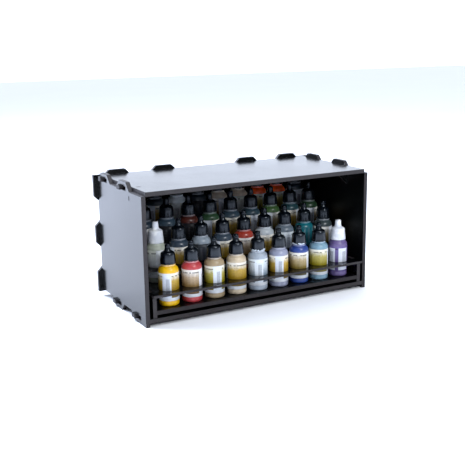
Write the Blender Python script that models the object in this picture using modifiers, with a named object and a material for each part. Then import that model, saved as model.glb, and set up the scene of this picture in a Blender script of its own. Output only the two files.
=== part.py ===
"""Open-front slide-lock cabinet with a pull-out stepped stand for dropper bottles.

Metres, +Z up, the open front faces -Y. The origin is the bottom centre of the bounding box.
Every board is cut flat from a drawn outline. Hooks on one board's edge pass through the
window of an arch on its neighbour's edge and slide sideways behind the arch's leg.
"""
import bpy
import bmesh
from mathutils import Matrix

# Cabinet
WIDTH = 0.320          # over the side panels
DEPTH = 0.149          # open front to the back panel
HEIGHT = 0.1624        # floor to the top panel's upper face
BOARD = 0.005          # cabinet and shelf board
THIN = 0.003           # stand plates and corner gussets
GAP = 0.00025          # play between boards that touch
FLOOR_GAP = 0.0046     # floor to the bottom panel

# Arch: a flat-topped tab with 45 degree ends and a window for the neighbour's hook
ARCH_BASE = 0.0214     # half length at the board's edge
ARCH_RISE = 0.0102
WINDOW_FREE = 0.011    # from the arch's centre to the window's empty end
WINDOW_HELD = 0.0072   # and to the end where the hook's neck rests
WINDOW_PLAY = 0.00025  # over the neighbour's thickness

# Hook: a neck as thick as its board, with a head that runs on to one side
NECK = (0.002, 0.007)  # from the arch's centre
HEAD_END = 0.012
HEAD = 0.0032
HEAD_CHAMFER = 0.001

TOP_ARCH_Y = (0.059, 0.1243)           # side panel arches, from the front
BOTTOM_ARCH_Y = (0.0257, 0.0913)
BACK_TOP_ARCH_X = (-0.1325, -0.0662, 0.0614, 0.128)
BACK_BOTTOM_ARCH_X = (-0.097, -0.031, 0.031, 0.097)
BACK_SIDE_ARCH_Z = (0.022, 0.084, 0.146)
CORNER_FOOT = 0.0062   # floor to the back panel's lower corners
CORNER_IN = 0.153      # middle to where those corners step up

GUSSET_LEG = 0.020
GUSSET_Y = 0.0385      # plate's middle, from the front
GUSSET_TAB = (0.005, 0.010)            # from the inner corner, along each leg

# Bottles and the stand that holds them
COLUMNS = 9
PITCH = 0.0311
ROWS = 4
ROW_DEPTH = 0.036
STEP = 0.0202
FIRST_ROW_Y = 0.0185
GRID_SHIFT = 0.003     # the bottles' middle, right of the cabinet's middle
HOLE_R = 0.013
HOLE_SIDES = 24
BOTTLE_SIDES = 12
STAND_WIDTH = 0.302
STAND_X = 0.0006       # the stand sits this far right of the middle
STAND_FRONT = 0.0005
STAND_BACK = 0.1465
SHELF_TOP = 0.0186
LIP = 0.004            # how far the lowest hole plate stands out past the side plates
LAP = 0.034            # how far a plate runs on under the next row's bottles
JOINT_TAB = (0.012, 0.024)             # tab along a step, from the step's front

# Bottle's outer side, top to bottom: radius and height over its base
BOTTLE_PROFILE = (
    (0.0, 0.0755), (0.0029, 0.0755), (0.0039, 0.0675), (0.0086, 0.0640), (0.0096, 0.0516),
    (0.0085, 0.0488), (0.0112, 0.0466), (0.0125, 0.0425), (0.0125, 0.0010), (0.0115, 0.0),
    (0.0, 0.0))

BLACK = "1B1B1E"
BOTTLE_COLOURS = (
    ("F2B80F", "C8484C", "A08B6B", "CBB593", "8E9299", "A9A7B8", "3C4A9C", "7FA3B8", "5F4686"),
    ("B9BDB0", "3D4A5C", "9AA3AE", "3C4B60", "B5452F", "C4C9D4", "6F7A88", "1F6B73", "4C5357"),
    ("2E3E4E", "2E3E4E", "5B2A24", "2F5230", "364556", "35424F", "3C6B35", "2F4A52", "22381F"),
    ("1E2A30", "1E2A30", "7F8C99", "3A3F44", "6F5F50", "7A6A5B", "C4451C", "C44A20", "202B3A"))

HALF = WIDTH / 2
ROOF = HEIGHT - BOARD                  # top panel's underside
DECK = FLOOR_GAP + BOARD               # bottom panel's upper face
EDGE = DEPTH - GAP                     # back edge of the four boards in front of the back panel
REACH = BOARD + 2 * GAP                # board edge to the inner side of a hook's head
FRONT_Y = -(EDGE + REACH + HEAD + STAND_FRONT - LIP) / 2
STAND_HALF = STAND_WIDTH / 2


def linear(hex_colour):
    """Linear RGBA of an sRGB hex colour."""
    channels = [int(hex_colour[i:i + 2], 16) / 255 for i in (0, 2, 4)]
    return [c / 12.92 if c < 0.04045 else ((c + 0.055) / 1.055) ** 2.4 for c in channels] + [1.0]


def material(name, hex_colour, roughness):
    """A plain Principled material."""
    made = bpy.data.materials.new(name)
    made.use_nodes = True
    shader = made.node_tree.nodes["Principled BSDF"]
    shader.inputs["Base Color"].default_value = linear(hex_colour)
    shader.inputs["Roughness"].default_value = roughness
    made.diffuse_color = linear(hex_colour)
    return made


def rectangle(u0, v0, u1, v1):
    """Corners of an upright rectangle."""
    return [(u0, v0), (u1, v0), (u1, v1), (u0, v1)]


def mirrored(points):
    """The same shape with its first coordinate reversed."""
    return [(-u, v) for u, v in reversed(points)]


def edge(axis, direction, base, outward, shapes):
    """Outline points of the shapes that stand on one straight edge, in walking order.

    axis is the coordinate that runs along the edge and base is the other coordinate there.
    Each shape is its place along the edge and its points as (along, out).
    """
    points = []
    for at, shape in sorted(shapes, reverse=direction < 0):
        for along, out in shape[::direction]:
            point = [base + outward * out] * 2
            point[axis] = at + along
            points.append(tuple(point))
    return points


def arch(rise=ARCH_RISE):
    """Arch outline on its board's edge."""
    top = ARCH_BASE - rise
    return [(-ARCH_BASE, 0.0), (-top, rise), (top, rise), (ARCH_BASE, 0.0)]


def hook():
    """Hook outline, with its head towards the positive side."""
    start, end = NECK
    tip = REACH + HEAD
    return [
        (start, 0.0), (start, tip - HEAD_CHAMFER), (start + HEAD_CHAMFER, tip),
        (HEAD_END - HEAD_CHAMFER, tip), (HEAD_END, tip - HEAD_CHAMFER), (HEAD_END, REACH),
        (end, REACH), (end, 0.0)]


def window(axis, at, base, outward, side):
    """Window in an arch. side is the way its hook's head points, so it is empty the other way."""
    near = base - outward * GAP
    far = base + outward * (BOARD + WINDOW_PLAY)
    empty = at - side * WINDOW_FREE
    held = at + side * WINDOW_HELD
    corners = rectangle(min(empty, held), min(near, far), max(empty, held), max(near, far))
    if axis == 0:
        return corners
    return [(v, u) for u, v in corners]


def new_object(name, mesh, collection, finish):
    """An object that owns its mesh's only material."""
    mesh.materials.clear()
    mesh.materials.append(finish)
    made = bpy.data.objects.new(name, mesh)
    collection.objects.link(made)
    return made


def board(name, outline, holes, thickness, place, collection, finish):
    """A flat board: outline and holes as (u, v), with place(u, v, w) giving the world point."""
    curve = bpy.data.curves.new(name, "CURVE")
    curve.dimensions = "2D"
    curve.fill_mode = "BOTH"
    curve.extrude = thickness / 2
    for loop in [outline, *holes]:
        spline = curve.splines.new("POLY")
        spline.points.add(len(loop) - 1)
        for point, (u, v) in zip(spline.points, loop):
            point.co = (u, v, 0.0, 1.0)
        spline.use_cyclic_u = True
    drawn = bpy.data.objects.new(name + "_outline", curve)
    mesh = bpy.data.meshes.new_from_object(drawn)
    bpy.data.objects.remove(drawn)
    bpy.data.curves.remove(curve)
    shape = bmesh.new()
    shape.from_mesh(mesh)
    bmesh.ops.remove_doubles(shape, verts=shape.verts, dist=1e-6)
    bmesh.ops.transform(shape, matrix=place, verts=shape.verts)
    bmesh.ops.recalc_face_normals(shape, faces=shape.faces)
    shape.to_mesh(mesh)
    shape.free()
    mesh.name = name
    return new_object(name, mesh, collection, finish)


def lying(z, x=0.0):
    """Place a board flat: u to +X from x, v to the back, its mid-plane at height z."""
    return Matrix(((1, 0, 0, x), (0, 1, 0, FRONT_Y), (0, 0, 1, z), (0, 0, 0, 1)))


def facing(depth):
    """Place a board across the cabinet: u to +X, v up, its mid-plane at this depth."""
    return Matrix(((1, 0, 0, 0), (0, 0, -1, FRONT_Y + depth), (0, 1, 0, 0), (0, 0, 0, 1)))


def upright(x):
    """Place a board along a side: u to the back, v up, its mid-plane at this x."""
    return Matrix(((0, 0, 1, x), (1, 0, 0, FRONT_Y), (0, 1, 0, 0), (0, 0, 0, 1)))


def circle(u, v, radius, sides):
    """Points of a round hole."""
    turns = [Matrix.Rotation(6.283185307 * i / sides, 2) for i in range(sides)]
    return [(u + radius * turn[0][0], v + radius * turn[1][0]) for turn in turns]


def side_panels(collection, finish):
    """Left and right walls: arches up and down, hooks on the back edge."""
    drop = DECK
    foot = arch(drop)[2:]
    outline = [(0.0, 0.0)]
    outline += edge(0, 1, DECK, -1, [(BOTTOM_ARCH_Y[0], foot), (BOTTOM_ARCH_Y[1], arch(drop))])
    outline += [(EDGE, DECK)]
    outline += edge(1, 1, EDGE, 1, [(z, mirrored(hook())) for z in BACK_SIDE_ARCH_Z])
    outline += [(EDGE, ROOF)]
    outline += edge(0, -1, ROOF, 1, [(y, arch()) for y in TOP_ARCH_Y])
    outline += [(0.0, ROOF)]
    holes = [window(0, y, ROOF, 1, 1) for y in TOP_ARCH_Y]
    holes += [window(0, y, DECK, -1, 1) for y in BOTTOM_ARCH_Y]
    holes += [rectangle(GUSSET_Y - THIN / 2 - GAP, ROOF - GUSSET_TAB[1] - GAP,
                        GUSSET_Y + THIN / 2 + GAP, ROOF - GUSSET_TAB[0] + GAP)]
    for name, side in (("left_side_panel", -1), ("right_side_panel", 1)):
        place = upright(side * (HALF - BOARD / 2))
        board(name, outline, holes, BOARD, place, collection, finish)


def flat_panels(collection, finish):
    """Top and bottom panels: hooks on three edges."""
    edge_x = HALF - BOARD - GAP
    slot_x = HALF - BOARD - (GUSSET_TAB[0] + GUSSET_TAB[1]) / 2
    slot_half = (GUSSET_TAB[1] - GUSSET_TAB[0]) / 2 + GAP
    slots = [rectangle(side * slot_x - slot_half, GUSSET_Y - THIN / 2 - GAP,
                       side * slot_x + slot_half, GUSSET_Y + THIN / 2 + GAP) for side in (-1, 1)]
    panels = (("top_panel", ROOF, TOP_ARCH_Y, BACK_TOP_ARCH_X, slots),
              ("bottom_panel", FLOOR_GAP, BOTTOM_ARCH_Y, BACK_BOTTOM_ARCH_X, []))
    for name, under, side_hooks, back_hooks, holes in panels:
        side_shapes = [(y, hook()) for y in side_hooks]
        outline = [(-edge_x, 0.0), (edge_x, 0.0)]
        outline += edge(1, 1, edge_x, 1, side_shapes)
        outline += [(edge_x, EDGE)]
        outline += edge(0, -1, EDGE, 1, [(x, mirrored(hook())) for x in back_hooks])
        outline += [(-edge_x, EDGE)]
        outline += edge(1, -1, -edge_x, -1, side_shapes)
        board(name, outline, holes, BOARD, lying(under + BOARD / 2), collection, finish)


def back_panel(collection, finish):
    """Back wall: arches all round, those at the corners cut off square."""
    inner = HALF - BOARD
    outer = inner + ARCH_RISE
    low, middle, high = BACK_SIDE_ARCH_Z
    top = ARCH_BASE - ARCH_RISE
    lower_half, upper_half = arch()[2:], arch()[:2]
    side_shapes = [(low, lower_half), (middle, arch()), (high, upper_half)]
    lip = ARCH_BASE - BOARD
    left_corner = [(-lip, BOARD), (-top, ARCH_RISE), *lower_half]
    corner = [(CORNER_IN + CORNER_FOOT - DECK, DECK), (CORNER_IN, CORNER_FOOT),
              (outer, CORNER_FOOT)]
    outline = mirrored(corner)
    outline += edge(0, 1, DECK, -1, [(x, arch(DECK)) for x in BACK_BOTTOM_ARCH_X])
    outline += corner
    outline += edge(1, 1, inner, 1, side_shapes)
    outline += [(outer, HEIGHT)]
    outline += edge(0, -1, ROOF, 1, [
        (BACK_TOP_ARCH_X[0], left_corner), (BACK_TOP_ARCH_X[1], arch()),
        (BACK_TOP_ARCH_X[2], arch()), (BACK_TOP_ARCH_X[3], mirrored(left_corner))])
    outline += [(-outer, HEIGHT)]
    outline += edge(1, -1, -inner, -1, side_shapes)
    holes = [window(0, x, ROOF, 1, -1) for x in BACK_TOP_ARCH_X]
    holes += [window(0, x, DECK, -1, -1) for x in BACK_BOTTOM_ARCH_X]
    holes += [window(1, z, side * inner, side, -1) for z in BACK_SIDE_ARCH_Z for side in (-1, 1)]
    place = facing(DEPTH + BOARD / 2)
    board("back_panel", outline, holes, BOARD, place, collection, finish)


def gussets(collection, finish):
    """Small triangles in the top front corners, with a tab through each neighbour."""
    corner = HALF - BOARD - GAP
    roof = ROOF - GAP
    near, far = GUSSET_TAB
    right = [
        (corner, roof - GUSSET_LEG), (corner, ROOF - far), (HALF, ROOF - far),
        (HALF, ROOF - near), (corner, ROOF - near), (corner, roof),
        (HALF - BOARD - near, roof), (HALF - BOARD - near, HEIGHT),
        (HALF - BOARD - far, HEIGHT), (HALF - BOARD - far, roof), (corner - GUSSET_LEG, roof)]
    place = facing(GUSSET_Y)
    board("top_right_gusset", right, [], THIN, place, collection, finish)
    board("top_left_gusset", mirrored(right), [], THIN, place, collection, finish)


def step_front(row):
    """Front of the step that carries this row's hole plate."""
    return STAND_FRONT + row * ROW_DEPTH


def plate_under(row):
    """Underside of this row's hole plate."""
    return SHELF_TOP + (row + 1) * STEP - THIN


def stand_sides(collection, finish):
    """Stepped side plates of the stand."""
    outline = [(STAND_FRONT, DECK + GAP), (STAND_BACK, DECK + GAP)]
    for row in reversed(range(ROWS)):
        front = step_front(row)
        back = STAND_BACK if row == ROWS - 1 else front + ROW_DEPTH
        top = plate_under(row) - GAP
        tab = plate_under(row) + THIN
        outline += [(back, top), (front + JOINT_TAB[1], top), (front + JOINT_TAB[1], tab),
                    (front + JOINT_TAB[0], tab), (front + JOINT_TAB[0], top), (front, top)]
    holes = [rectangle(STAND_FRONT + JOINT_TAB[0] - GAP, SHELF_TOP - BOARD - GAP,
                       STAND_FRONT + JOINT_TAB[1] + GAP, SHELF_TOP + GAP)]
    for row in range(ROWS - 1):
        start = step_front(row + 1) + JOINT_TAB[0]
        end = step_front(row + 1) + JOINT_TAB[1]
        under = plate_under(row)
        holes += [rectangle(start - GAP, under - GAP, end + GAP, under + THIN + GAP)]
    for name, side in (("stand_left_side", -1), ("stand_right_side", 1)):
        place = upright(STAND_X + side * (STAND_HALF - BOARD / 2))
        board(name, outline, holes, BOARD, place, collection, finish)


def shelf(collection, finish):
    """Floor of the front row, with a tab through each side plate."""
    inner = STAND_HALF - BOARD - GAP
    start, end = (STAND_FRONT + along for along in JOINT_TAB)
    right = [(inner, STAND_FRONT), (inner, start), (STAND_HALF, start), (STAND_HALF, end),
             (inner, end), (inner, STAND_FRONT + ROW_DEPTH)]
    place = lying(SHELF_TOP - BOARD / 2, STAND_X)
    board("stand_front_shelf", right + mirrored(right), [], BOARD, place, collection, finish)


def hole_plates(collection, finish):
    """One plate for each row: holes for that row, floor for the next."""
    inner = STAND_HALF - BOARD - GAP
    for row in range(ROWS):
        front = step_front(row)
        start, end = front + JOINT_TAB[0] - GAP, front + JOINT_TAB[1] + GAP
        lap = front + ROW_DEPTH - GAP
        nose = front - LIP if row == 0 else front
        right = [(STAND_HALF, nose), (STAND_HALF, start), (inner, start), (inner, end)]
        if row == ROWS - 1:
            right += [(STAND_HALF, end), (STAND_HALF, STAND_BACK)]
        else:
            tab_start, tab_end = (step_front(row + 1) + along for along in JOINT_TAB)
            right += [(STAND_HALF, end), (STAND_HALF, lap), (inner, lap), (inner, tab_start),
                      (STAND_HALF, tab_start), (STAND_HALF, tab_end), (inner, tab_end),
                      (inner, front + ROW_DEPTH + LAP)]
        holes = [circle(column_x(column) - STAND_X, row_y(row), HOLE_R, HOLE_SIDES)
                 for column in range(COLUMNS)]
        place = lying(plate_under(row) + THIN / 2, STAND_X)
        name = f"stand_hole_plate_{row + 1}"
        board(name, right + mirrored(right), holes, THIN, place, collection, finish)


def column_x(column):
    """Middle of a bottle column."""
    return GRID_SHIFT + (column - (COLUMNS - 1) / 2) * PITCH


def row_y(row):
    """Middle of a bottle row, from the cabinet's front."""
    return FIRST_ROW_Y + row * ROW_DEPTH


def bottles(collection):
    """Dropper bottles, each with its origin at the middle of its base."""
    for row in range(ROWS):
        for column in range(COLUMNS):
            name = f"paint_bottle_{row + 1}_{column + 1}"
            mesh = bpy.data.meshes.new(name)
            points = [(radius, 0.0, height) for radius, height in BOTTLE_PROFILE]
            mesh.from_pydata(points, [(i, i + 1) for i in range(len(points) - 1)], [])
            finish = material(name, BOTTLE_COLOURS[row][column], 0.35)
            bottle = new_object(name, mesh, collection, finish)
            base = SHELF_TOP + row * STEP + GAP
            bottle.location = (column_x(column), FRONT_Y + row_y(row), base)
            turn = bottle.modifiers.new("turn", "SCREW")
            turn.steps = BOTTLE_SIDES
            turn.render_steps = BOTTLE_SIDES
            turn.use_merge_vertices = True
            turn.merge_threshold = 0.00001


def hang(pieces, name, location):
    """Hang pieces on an empty so that they slide together, each staying where it is."""
    empty = bpy.data.objects.new(name, None)
    empty.location = location
    bpy.context.scene.collection.objects.link(empty)
    for piece in pieces:
        piece.parent = empty
        piece.matrix_parent_inverse = Matrix.Translation(location).inverted()


def main():
    """Build the whole object."""
    for old in list(bpy.data.objects):
        bpy.data.objects.remove(old, do_unlink=True)
    collection = bpy.data.collections.new("paint_rack_organizer")
    bpy.context.scene.collection.children.link(collection)
    black = material("black_board", BLACK, 0.15)
    side_panels(collection, black)
    flat_panels(collection, black)
    back_panel(collection, black)
    gussets(collection, black)
    fixed = set(collection.objects)
    stand_sides(collection, black)
    shelf(collection, black)
    hole_plates(collection, black)
    bottles(collection)
    moving = [piece for piece in collection.objects if piece not in fixed]
    hang(moving, "stand_slide", (0.0, FRONT_Y, DECK))


main()
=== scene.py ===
"""Looks of the paint rack organizer: glossy black boards with cut edges, and dropper bottles."""

import math

import bmesh
import bpy
from mathutils import Matrix, Vector


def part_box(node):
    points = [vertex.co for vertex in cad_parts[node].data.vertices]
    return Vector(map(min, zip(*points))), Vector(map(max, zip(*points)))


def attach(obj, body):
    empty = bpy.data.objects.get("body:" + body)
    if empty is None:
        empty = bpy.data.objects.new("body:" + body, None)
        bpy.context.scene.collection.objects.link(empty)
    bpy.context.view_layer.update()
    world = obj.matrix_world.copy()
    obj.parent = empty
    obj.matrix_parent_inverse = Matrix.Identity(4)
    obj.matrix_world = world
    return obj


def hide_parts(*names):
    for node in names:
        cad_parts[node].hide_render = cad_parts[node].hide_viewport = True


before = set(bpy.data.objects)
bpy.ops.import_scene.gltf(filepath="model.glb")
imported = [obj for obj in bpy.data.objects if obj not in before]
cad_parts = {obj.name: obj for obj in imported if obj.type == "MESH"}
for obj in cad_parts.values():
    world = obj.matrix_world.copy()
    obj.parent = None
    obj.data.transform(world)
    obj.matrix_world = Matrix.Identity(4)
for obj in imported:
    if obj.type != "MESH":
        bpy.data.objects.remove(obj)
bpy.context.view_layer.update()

# Camera: the photograph's viewing angle, in degrees and metres
AZIMUTH = -28.145
ELEVATION = 13.349
ROLL = -0.844
DISTANCE = 1.0938
TARGET = Vector((-0.0006, 0.00172, 0.0805))
LENS = 63.65

# Lamps: name, place, aim, size, power in watts and colour
LAMPS = (
    ("key", (0.14, -1.18, 0.82), (0.0, 0.0, 0.08), (0.35, 0.5), 10.5, (0.95, 0.98, 1.0)),
    ("overhead", (0.1, -0.45, 1.4), (0.1, -0.4, 0.0), (0.9, 0.6), 6.0, (0.95, 0.97, 1.0)),
    ("back", (-0.8, 1.0, 1.3), (-0.2, 0.2, 0.0), (1.4, 1.0), 74.0, (0.74, 0.82, 1.0)))

# Surround: the direction of its bright part, the closeness to that direction over which it fades
# (1 is straight at it), and the strengths at the fade's ends
BRIGHT_PART = (0.32, 0.69, 0.65)
FADE_RUN = (0.40, 0.85)
DIM = 0.40
BRIGHT = 2.3
SURROUND_COLOUR = (0.79, 0.86, 1.0, 1.0)

# Boards. The grain is how the polish marks are stretched on faces square to x, y and z.
SWELL = 0.00018                # moves each corner of a board out, so that its joints look tight
WORN = 0.14                    # extra roughness of a dulled board, and its loss of shine
POLISH_GRAIN = ((1.0, 900.0, 50.0), (900.0, 1.0, 900.0), (650.0, 650.0, 1.0))

FLOOR_REACH = 6.0              # from the middle to each edge of the floor

# Bottle sizes, in metres
BOTTLE_HEIGHT = 0.0755
BOTTLE_RADIUS = 0.0125
LABEL_BOTTOM = 0.0068
LABEL_TOP = 0.0412
LABEL_SKIN = 0.00012           # label's outer side, over the bottle's radius
LABEL_SINK = 0.00005           # label's edges, under the bottle's radius
LABEL_RINGS = 6
SEGMENTS = 60
RIBS = 30                      # around a black cap's skirt
RIB_STEPS = 6                  # mesh steps around one rib
RIB_DEPTH = 0.00005
RIBBED = (0.0520, 0.0640)      # heights between which the skirt is ribbed

# Each bottle: paint, label style, the way its white column faces (degrees right of the camera),
# and the cap's kind. Row 1 is at the front and column 1 is at the left.
BOTTLES = (
    (("E8B608", "gold", -6, "black"), ("B43C40", "beige", 72, "black"),
     ("9E8B6C", "olive", 20, "black"), ("C4B398", "gold", -88, "black"),
     ("A0ABB8", "steel", 7, "spilled"), ("9196AC", "gold", 3, "black"),
     ("28428A", "sand", 75, "spilled"), ("7699AC", "olive", 84, "black"),
     ("665888", "panels", -13, "white")),
    (("B4BAAA", "plain", 30, "white"), ("33414F", "gold", -48, "black"),
     ("98A4B0", "charcoal", 10, "black"), ("3C4A58", "gold", -40, "black"),
     ("AC3A2A", "beige", -80, "black"), ("C0C8CE", "gold", -70, "black"),
     ("6C7884", "steel", 20, "black"), ("0E6A76", None, 0, "black"),
     ("3E4A4C", "sand", 60, "black")),
    # Rows 3 and 4 sit deep in the rack: their smoke label style is a near-black label that is
    # partly painted shade, darker than the label would be under even light
    (("2E3E4E", "sand", 0, "black"), ("3E5262", "smoke_and_painted_shade", 30, "black"),
     ("56281F", "smoke_and_painted_shade", -30, "black"), ("35563A", "gold", -10, "black"),
     ("3A4E5C", "gold", -60, "black"), ("38505C", "gold", 25, "black"),
     ("4A6C3C", "sand", -15, "black"), ("2F545C", "gold", 70, "black"),
     ("2E4C32", "sand", 10, "black")),
    (("1E2A30", "gold", 5, "black"), ("22323C", "gold", -20, "black"),
     ("E4ECF2", "plain", 0, "black"), ("26323C", "smoke_and_painted_shade", 10, "black"),
     ("C8B8A6", "beige", 30, "black"), ("DCC8B2", "plain", -30, "black"),
     ("FF5510", "olive", 60, "black"), ("FF5A14", "olive", 70, "black"),
     ("22303E", "steel", 20, "black")))

# Label styles: colours from the foot of the label to its head, and the column's colour
LABELS = {
    "gold": (("6C5404", "9C7A08", "BA9A3C", "E8E4DA"), "DCE2EC"),
    "olive": (("6E6406", "94860A", "B0A452", "E6E4D6"), "DCE4EC"),
    "sand": (("463C06", "84702C", "B2A078", "E6E4DE"), "E4E8F0"),
    "beige": (("64440E", "927444", "B6A084", "E6E2DE"), "E4E4EC"),
    "steel": (("3A4A5C", "8494A4", "C4CCD4", "D8E0E6"), "DCE4EC"),
    "charcoal": (("08090B", "0E1013", "16191D", "2A2E34"), "3A3F46"),
    "plain": (("B8BEC0", "C8CCCC", "CED2CE", "C8CCC0"), "DADEE0"),
    # smoke: near-black label used only in rows 3 and 4; its darkness is partly painted shade of the
    # deep rack
    "smoke_and_painted_shade": (("15161A", "1C1B20", "232126", "2B2A30"), "202228"),
    "panels": (("56487C", "5E5086", "645690", "6A5C96"), "D6DAE4")}

# Half outlines, from the foot up: radius and height over the bottle's base, in metres
FOOT = (
    (0.0, 0.0010), (0.0070, 0.0009), (0.0092, 0.0004), (0.0102, 0.0), (0.0110, 0.0001),
    (0.0117, 0.0005), (0.0122, 0.0012), (0.01245, 0.0022), (BOTTLE_RADIUS, 0.0034),
    (BOTTLE_RADIUS, 0.0200))
SHOULDER = (
    (BOTTLE_RADIUS, 0.0418), (0.01244, 0.0431), (0.0122, 0.0444), (0.0117, 0.0457),
    (0.0109, 0.0469), (0.0099, 0.0478), (0.0090, 0.0484), (0.0085, 0.0487))
NECK_RING = (
    (0.0085, 0.0491), (0.0089, 0.0494), (0.0090, 0.0500), (0.0089, 0.0507), (0.0085, 0.0510),
    (0.0080, 0.0511), (0.0080, 0.0530), (0.0, 0.0530))
BODY = FOOT + SHOULDER + NECK_RING
HIGH_SHOULDER = (
    (BOTTLE_RADIUS, 0.0425), (0.0124, 0.0438), (0.0121, 0.0448), (0.0115, 0.0457),
    (0.0108, 0.0463))
WIDE_NECK = (
    (0.0104, 0.0468), (0.0102, 0.0476), (0.0102, 0.0488), (0.0096, 0.0492), (0.0080, 0.0493),
    (0.0080, 0.0510), (0.0, 0.0510))
STRAIGHT_BODY = FOOT + HIGH_SHOULDER + WIDE_NECK
CAP = (
    (0.0, 0.0524), (0.0080, 0.0524), (0.0094, 0.0516), (0.0096, 0.0515), (0.0097, 0.0518),
    (0.0096, 0.0525), (0.0094, 0.0545), (0.0091, 0.0590), (0.0088, 0.0628), (0.0086, 0.0639),
    (0.0081, 0.0647), (0.0066, 0.0657), (0.0052, 0.0665), (0.0044, 0.0671), (0.0040, 0.0678),
    (0.0039, 0.0687), (0.0036, 0.0692), (0.0035, 0.0720), (0.0033, 0.0742), (0.0029, 0.0750),
    (0.0018, 0.0754), (0.0, 0.0755))
WIDE_CAP = (
    (0.0, 0.0505), (0.0090, 0.0505), (0.0099, 0.0498), (0.0102, 0.0496), (0.0103, 0.0500),
    (0.0101, 0.0510), (0.0098, 0.0540), (0.0093, 0.0590), (0.0089, 0.0632), (0.0086, 0.0642),
    (0.0078, 0.0650), (0.0062, 0.0657), (0.0050, 0.0664), (0.0044, 0.0674), (0.0041, 0.0700),
    (0.0038, 0.0735), (0.0036, 0.0748), (0.0031, 0.0754), (0.0, 0.0755))


def linear(hex_colour):
    """Linear RGBA of an sRGB hex colour."""
    channels = [int(hex_colour[i:i + 2], 16) / 255 for i in (0, 2, 4)]
    return [c / 12.92 if c < 0.04045 else ((c + 0.055) / 1.055) ** 2.4 for c in channels] + [1.0]


class Finish:
    """A Principled material and short calls that add nodes to it."""

    def __init__(self, name, **constants):
        self.material = bpy.data.materials.new(name)
        self.material.use_nodes = True
        self.tree = self.material.node_tree
        self.shader = self.tree.nodes["Principled BSDF"]
        for socket, value in constants.items():
            self.shader.inputs[socket.replace("_", " ")].default_value = value

    def put(self, socket, value):
        """Set an input, or link it if value is another node's output."""
        if isinstance(value, bpy.types.NodeSocket):
            self.tree.links.new(value, socket)
        else:
            socket.default_value = value

    def drive(self, name, value):
        """Set or link one of the shader's own inputs."""
        self.put(self.shader.inputs[name], value)

    def node(self, kind, **settings):
        """A node with its properties set."""
        made = self.tree.nodes.new(kind)
        for key, value in settings.items():
            setattr(made, key, value)
        return made

    def math(self, operation, *values):
        """A Math node's result."""
        made = self.node("ShaderNodeMath", operation=operation)
        for socket, value in zip(made.inputs, values):
            self.put(socket, value)
        return made.outputs[0]

    def mix(self, factor, first, second):
        """Colour between first and second."""
        made = self.node("ShaderNodeMix", data_type="RGBA")
        self.put(made.inputs["Factor"], factor)
        self.put(made.inputs["A"], first)
        self.put(made.inputs["B"], second)
        return made.outputs["Result"]

    def ramp(self, factor, stops):
        """Colour from a list of (place, colour)."""
        made = self.node("ShaderNodeValToRGB")
        ramp = made.color_ramp
        while len(ramp.elements) < len(stops):
            ramp.elements.new(0.5)
        for element, (place, colour) in zip(ramp.elements, stops):
            element.position = place
            element.color = colour
        self.put(made.inputs["Fac"], factor)
        return made.outputs["Color"]

    def span(self, value, low, high):
        """0 below low, 1 above high, smooth between."""
        made = self.node("ShaderNodeMapRange", interpolation_type="SMOOTHSTEP")
        self.put(made.inputs["Value"], value)
        made.inputs["From Min"].default_value = low
        made.inputs["From Max"].default_value = high
        return made.outputs["Result"]

    def between(self, value, low, high, soft=0.004):
        """1 between low and high, 0 outside."""
        rise = self.span(value, low - soft, low + soft)
        fall = self.span(value, high - soft, high + soft)
        return self.math("SUBTRACT", rise, fall)

    def place(self, scale=(1, 1, 1)):
        """Position on the object, stretched by scale."""
        coordinates = self.node("ShaderNodeTexCoord")
        mapping = self.node("ShaderNodeMapping")
        mapping.inputs["Scale"].default_value = scale
        self.put(mapping.inputs["Vector"], coordinates.outputs["Object"])
        return mapping.outputs["Vector"]

    def noise(self, vector, scale, detail=2.0):
        """Noise from 0 to 1."""
        made = self.node("ShaderNodeTexNoise")
        self.put(made.inputs["Vector"], vector)
        made.inputs["Scale"].default_value = scale
        made.inputs["Detail"].default_value = detail
        return made.outputs["Fac"]

    def around(self):
        """(turn, height) from the piece's own map, each from 0 to 1."""
        mapped = self.node("ShaderNodeUVMap", uv_map="turned")
        split = self.node("ShaderNodeSeparateXYZ")
        self.put(split.inputs[0], mapped.outputs["UV"])
        return split.outputs["X"], split.outputs["Y"]

    def bump(self, height, strength, distance):
        """Raise the surface by a height."""
        made = self.node("ShaderNodeBump")
        made.inputs["Strength"].default_value = strength
        made.inputs["Distance"].default_value = distance
        self.put(made.inputs["Height"], height)
        self.drive("Normal", made.outputs["Normal"])


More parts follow.
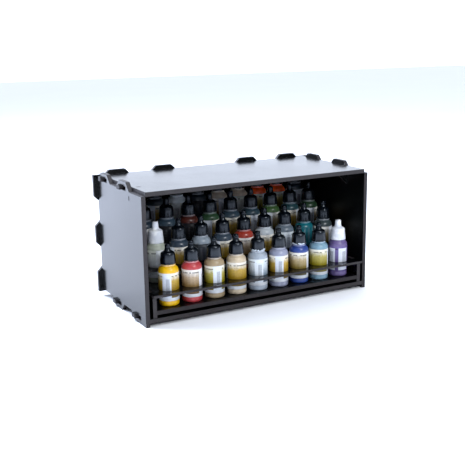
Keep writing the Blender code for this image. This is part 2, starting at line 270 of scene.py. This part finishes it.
def board_finish(axis, dull=0.0):
    """Polished black faces square to axis, dulled or not, with dull scorched cut edges."""
    finish = Finish(("dull_board_" if dull else "black_board_") + "xyz"[axis],
                    Specular_IOR_Level=0.4 - dull)
    normal = finish.node("ShaderNodeNewGeometry").outputs["Normal"]
    split = finish.node("ShaderNodeSeparateXYZ")
    finish.put(split.inputs[0], normal)
    squareness = finish.math("ABSOLUTE", split.outputs[axis])
    face = finish.span(squareness, 0.75, 0.95)
    along = [1400.0] * 3
    along[axis] = 90.0
    scorch = finish.noise(finish.place(along), 1.0, 3.0)
    mottle = finish.noise(finish.place(), 160.0, 3.0)
    cut = finish.ramp(scorch, ((0.30, linear("1A1718")), (0.70, linear("2E292B"))))
    cut = finish.mix(finish.span(mottle, 0.4, 0.75), cut, linear("292526"))
    smear = finish.noise(finish.place(), 14.0, 4.0)
    dust = finish.noise(finish.place(), 900.0, 1.0)
    specks = finish.span(dust, 0.70, 0.78)
    gloss = finish.mix(specks, linear("040506"), linear("101114"))
    finish.drive("Base Color", finish.mix(face, cut, gloss))
    grain = finish.noise(finish.place(POLISH_GRAIN[axis]), 1.0, 2.0)
    sheen = finish.math("MULTIPLY_ADD", smear, 0.10, 0.11 + dull)
    sheen = finish.math("MULTIPLY_ADD", grain, 0.08, sheen)
    rasped = finish.math("MULTIPLY_ADD", scorch, 0.25, 0.42)
    rough = finish.math("ADD", finish.math("MULTIPLY", face, sheen),
                        finish.math("MULTIPLY", finish.math("SUBTRACT", 1.0, face), rasped))
    finish.drive("Roughness", rough)
    ridges = finish.math("MULTIPLY", finish.math("SUBTRACT", 1.0, face), scorch)
    finish.bump(ridges, 0.35, 0.0002)
    return finish.material


def paint_finish(name, paint):
    """Thin-walled bottle full of paint, paler at the neck where the paint is thin."""
    finish = Finish(name, Coat_Weight=0.12, Coat_Roughness=0.15, IOR=1.5)
    colour = linear(paint)
    pale = [0.72 * c + 0.28 * p for c, p in zip(colour, linear("D0D2DA"))]
    deep = [0.78 * c for c in colour[:3]] + [1.0]
    _, height = finish.around()
    cloud = finish.noise(finish.place(), 130.0, 3.0)
    body = finish.mix(finish.span(cloud, 0.35, 0.75), colour, deep)
    neck = finish.span(height, 0.645, 0.652)
    finish.drive("Base Color", finish.mix(neck, body, pale))
    finish.drive("Roughness", finish.math("MULTIPLY_ADD", cloud, 0.14, 0.24))
    finish.bump(cloud, 0.12, 0.0006)
    return finish.material


def label_finish(name, style):
    """Printed label: a fading ground, a pale column with bars, and rows of fine print strokes."""
    stops, column_colour = LABELS[style]
    # Dark styles get a grey foot band and pale ink; for the smoke style that darkness is partly
    # painted shade
    dark = style in ("charcoal", "smoke_and_painted_shade")
    foot = "8A9096" if dark else "E0E4E8"
    finish = Finish(name, IOR=1.45)
    turn, height = finish.around()
    places = (0.16, 0.42, 0.72, 0.94)
    grain = finish.noise(finish.place(), 420.0, 3.0)
    shade = finish.math("ADD", height, finish.math("MULTIPLY_ADD", grain, 0.22, -0.11))
    ground = finish.ramp(shade, [(p, linear(c)) for p, c in zip(places, stops)])
    strokes_noise = finish.noise(finish.place((700.0, 700.0, 60.0)), 1.0, 1.0)
    rows = finish.math("FRACT", finish.math("MULTIPLY", height, 17.0))
    strokes = finish.math("MULTIPLY", finish.between(rows, 0.25, 0.6, 0.08),
                          finish.span(strokes_noise, 0.48, 0.56))
    written = finish.between(height, 0.30, 0.88, 0.01)
    strokes = finish.math("MULTIPLY", strokes, written)
    ink = linear("8A929C" if dark else "3A3628")
    ground = finish.mix(finish.math("MULTIPLY", strokes, 0.4), ground, ink)
    dashes = finish.noise(finish.place((330.0, 330.0, 0.0)), 1.0, 0.0)
    dashes = finish.math("MULTIPLY", finish.span(dashes, 0.42, 0.47),
                         finish.between(height, 0.875, 0.915, 0.012))
    ground = finish.mix(finish.math("MULTIPLY", dashes, 0.8), ground, linear("1E1C1A"))
    column = finish.between(turn, 0.43, 0.57)
    coded = finish.between(turn, 0.455, 0.515, 0.003)
    if style == "panels":
        column = finish.math("ADD", finish.between(turn, 0.30, 0.47),
                             finish.between(turn, 0.53, 0.655))
        column = finish.math("MULTIPLY", column, finish.between(height, 0.06, 0.93))
        coded = finish.math("ADD", finish.between(turn, 0.33, 0.40),
                            finish.between(turn, 0.56, 0.63))
    bars = finish.math("MULTIPLY", coded, finish.between(height, 0.20, 0.80, 0.01))
    stripe = finish.math("FRACT", finish.math("MULTIPLY", height, 31.0))
    bars = finish.math("MULTIPLY", bars, finish.between(stripe, 0.2, 0.7, 0.1))
    plate = finish.mix(finish.math("MULTIPLY", bars, 0.9), linear(column_colour),
                       linear("3C4252"))
    plate = finish.mix(finish.math("MULTIPLY", strokes, 0.25), plate, linear("6A7082"))
    printed = finish.mix(column, ground, plate)
    if style != "panels":
        band = finish.math("SUBTRACT", 1.0, finish.span(height, 0.11, 0.13))
        printed = finish.mix(band, printed, linear(foot))
    finish.drive("Base Color", printed)
    finish.drive("Roughness", finish.math("MULTIPLY_ADD", grain, 0.15, 0.30))
    finish.bump(grain, 0.05, 0.0002)
    return finish.material


def cap_finish(name, colour, roughness, spilled=False):
    """Moulded cap with a faint orange-peel skin, and dried paint on a spilled cap's lower edge."""
    finish = Finish(name, IOR=1.5, Specular_Tint=(0.82, 0.90, 1.0, 1.0))
    skin = finish.noise(finish.place(), 700.0, 2.0)
    wear = finish.noise(finish.place(), 120.0, 3.0)
    base = linear(colour)
    lighter = [min(1.0, 1.5 * c + 0.002) for c in base[:3]] + [1.0]
    plastic = finish.mix(finish.span(wear, 0.45, 0.8), base, lighter)
    if spilled:
        _, height = finish.around()
        drips = finish.noise(finish.place(), 260.0, 2.0)
        edge = finish.math("SUBTRACT", 1.0, finish.span(height, 0.685, 0.745))
        dried = finish.span(finish.math("MULTIPLY", drips, edge), 0.40, 0.46)
        plastic = finish.mix(dried, plastic, linear("CDD8E2"))
    finish.drive("Base Color", plastic)
    finish.drive("Roughness", finish.math("MULTIPLY_ADD", wear, 0.12, roughness))
    finish.bump(skin, 0.03, 0.0001)
    return finish.material


def turned(name, outline, segments, reach=(0.0, BOTTLE_HEIGHT), rib=0.0):
    """A turned mesh with a map of turn and height. rib is the depth of flutes on a cap's skirt."""
    mesh = bpy.data.meshes.new(name)
    shape = bmesh.new()
    mapped = shape.loops.layers.uv.new("turned")
    rings = []
    for radius, height in outline:
        if radius == 0.0:
            rings.append([shape.verts.new((0.0, 0.0, height))])
            continue
        ribbed = rib if RIBBED[0] <= height <= RIBBED[1] else 0.0
        ring = []
        for i in range(segments):
            angle = 2 * math.pi * i / segments
            r = radius - ribbed * (0.5 + 0.5 * math.cos(RIBS * angle))
            ring.append(shape.verts.new((r * math.sin(angle), r * math.cos(angle), height)))
        rings.append(ring)
    low, high = reach
    for lower, upper in zip(rings, rings[1:]):
        for i in range(segments):
            j = (i + 1) % segments
            corners = [lower[i % len(lower)], lower[j % len(lower)],
                       upper[j % len(upper)], upper[i % len(upper)]]
            turns = [i, i + 1, i + 1, i]
            kept = [k for k in range(4) if corners[k] not in corners[:k]]
            if len(kept) < 3:
                continue
            face = shape.faces.new([corners[k] for k in kept])
            face.smooth = True
            for loop, k in zip(face.loops, kept):
                height = (loop.vert.co.z - low) / (high - low)
                loop[mapped].uv = (turns[k] / segments, height)
    bmesh.ops.recalc_face_normals(shape, faces=shape.faces)
    shape.to_mesh(mesh)
    shape.free()
    return mesh


def place_piece(name, mesh, base, turn, material, body):
    """An object whose mesh lies in the row frame, riding on a body."""
    mesh.transform(Matrix.Translation(base) @ Matrix.Rotation(turn, 4, "Z"))
    mesh.materials.append(material)
    piece = bpy.data.objects.new(name, mesh)
    bpy.context.scene.collection.objects.link(piece)
    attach(piece, body)
    return piece


def label_outline():
    """Half outline of a label: a thin sleeve whose edges sink into the bottle."""
    inner = BOTTLE_RADIUS - LABEL_SINK
    outer = BOTTLE_RADIUS + LABEL_SKIN
    low, high = LABEL_BOTTOM, LABEL_TOP
    heights = [low + (high - low) * i / LABEL_RINGS for i in range(LABEL_RINGS + 1)]
    return [(inner, low), *((outer, h) for h in heights), (inner, high)]


def make_bottles():
    """Body, label and cap for each bottle node."""
    caps = {"black": cap_finish("cap_black", "05090F", 0.12),
            "spilled": cap_finish("cap_spilled", "05090F", 0.12, spilled=True),
            "white": cap_finish("cap_white", "D4D8E0", 0.32)}
    for row, bottles in enumerate(BOTTLES, 1):
        for column, (paint, style, turn, cap) in enumerate(bottles, 1):
            tag = f"{row}_{column}"
            node = "paint_bottle_" + tag
            low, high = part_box(node)
            base = Vector(((low.x + high.x) / 2, (low.y + high.y) / 2, low.z))
            rider = "bottle_" + tag
            facing = math.radians(AZIMUTH + turn)
            wide = cap == "white"
            mesh = turned("bottle_body_" + tag, STRAIGHT_BODY if wide else BODY, SEGMENTS)
            body = place_piece("bottle_body_" + tag, mesh, base, facing,
                               paint_finish("paint_" + tag, paint), rider)
            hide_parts(node)
            outline = WIDE_CAP if wide else CAP
            mesh = turned("bottle_cap_" + tag, outline, RIBS * RIB_STEPS,
                          rib=0.0 if wide else RIB_DEPTH)
            place_piece("bottle_cap_" + tag, mesh, base, facing,
                        caps[cap], rider)
            if style:
                mesh = turned("bottle_label_" + tag, label_outline(), SEGMENTS,
                              reach=(LABEL_BOTTOM, LABEL_TOP))
                place_piece("bottle_label_" + tag, mesh, base, facing,
                            label_finish("label_" + tag, style), rider)


def dress_boards():
    """Give the CAD boards their finish, and swell them a little so that their joints look tight."""
    finishes = [board_finish(axis) for axis in range(3)]
    worn = {"stand_front_shelf": board_finish(2, dull=WORN),
            "right_side_panel": board_finish(0, dull=WORN)}
    for name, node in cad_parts.items():
        if name.startswith("paint_bottle"):
            continue
        low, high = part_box(name)
        size = high - low
        axis = min(range(3), key=lambda i: size[i])
        node.data.materials.clear()
        node.data.materials.append(worn.get(name, finishes[axis]))
        tight = node.modifiers.new("tight_joints", "DISPLACE")
        tight.mid_level = 0.0
        tight.strength = SWELL


def make_floor():
    """Plain pale floor."""
    finish = Finish("floor", Specular_IOR_Level=0.2)
    drift = finish.noise(finish.place(), 3.0, 2.0)
    finish.drive("Base Color", finish.mix(drift, linear("F2F3F6"), linear("F6F7FA")))
    finish.drive("Roughness", finish.math("MULTIPLY_ADD", drift, 0.1, 0.7))
    mesh = bpy.data.meshes.new("floor")
    far = FLOOR_REACH
    corners = [(-far, -far, 0), (far, -far, 0), (far, far, 0), (-far, far, 0)]
    mesh.from_pydata(corners, [], [(0, 1, 2, 3)])
    mesh.materials.append(finish.material)
    floor = bpy.data.objects.new("floor", mesh)
    bpy.context.scene.collection.objects.link(floor)


def make_world():
    """Studio surround: bright behind and high up, dim elsewhere."""
    world = bpy.data.worlds.new("studio")
    world.use_nodes = True
    tree = world.node_tree
    background = tree.nodes["Background"]
    coordinates = tree.nodes.new("ShaderNodeTexCoord")
    dot = tree.nodes.new("ShaderNodeVectorMath")
    dot.operation = "DOT_PRODUCT"
    dot.inputs[1].default_value = BRIGHT_PART
    tree.links.new(coordinates.outputs["Generated"], dot.inputs[0])
    fade = tree.nodes.new("ShaderNodeMapRange")
    fade.interpolation_type = "SMOOTHSTEP"
    fade.inputs["From Min"].default_value = FADE_RUN[0]
    fade.inputs["From Max"].default_value = FADE_RUN[1]
    fade.inputs["To Min"].default_value = DIM
    fade.inputs["To Max"].default_value = BRIGHT
    tree.links.new(dot.outputs["Value"], fade.inputs["Value"])
    tree.links.new(fade.outputs["Result"], background.inputs["Strength"])
    background.inputs["Color"].default_value = SURROUND_COLOUR
    bpy.context.scene.world = world


def area_light(name, place, aim, size, power, colour):
    """A soft rectangular lamp."""
    lamp = bpy.data.lights.new(name, "AREA")
    lamp.shape = "RECTANGLE"
    lamp.size, lamp.size_y = size
    lamp.energy = power
    lamp.color = colour
    made = bpy.data.objects.new(name, lamp)
    made.location = place
    made.rotation_euler = (Vector(aim) - Vector(place)).to_track_quat("-Z", "Y").to_euler()
    bpy.context.scene.collection.objects.link(made)


def make_camera():
    """Camera at the photograph's angle."""
    azimuth, elevation, roll = (math.radians(a) for a in (AZIMUTH, ELEVATION, ROLL))
    back = Vector((math.sin(azimuth) * math.cos(elevation),
                   -math.cos(azimuth) * math.cos(elevation), math.sin(elevation)))
    right = Vector((0, 0, 1)).cross(back).normalized()
    turn = Matrix((right, back.cross(right), back)).transposed().to_4x4()
    data = bpy.data.cameras.new("camera")
    data.lens = LENS
    camera = bpy.data.objects.new("camera", data)
    place = Matrix.Translation(TARGET + back * DISTANCE)
    camera.matrix_world = place @ turn @ Matrix.Rotation(roll, 4, "Z")
    bpy.context.scene.collection.objects.link(camera)
    bpy.context.scene.camera = camera


dress_boards()
make_bottles()
make_floor()
make_world()
for lamp in LAMPS:
    area_light(*lamp)
make_camera()
bpy.context.scene.view_settings.view_transform = "Standard"
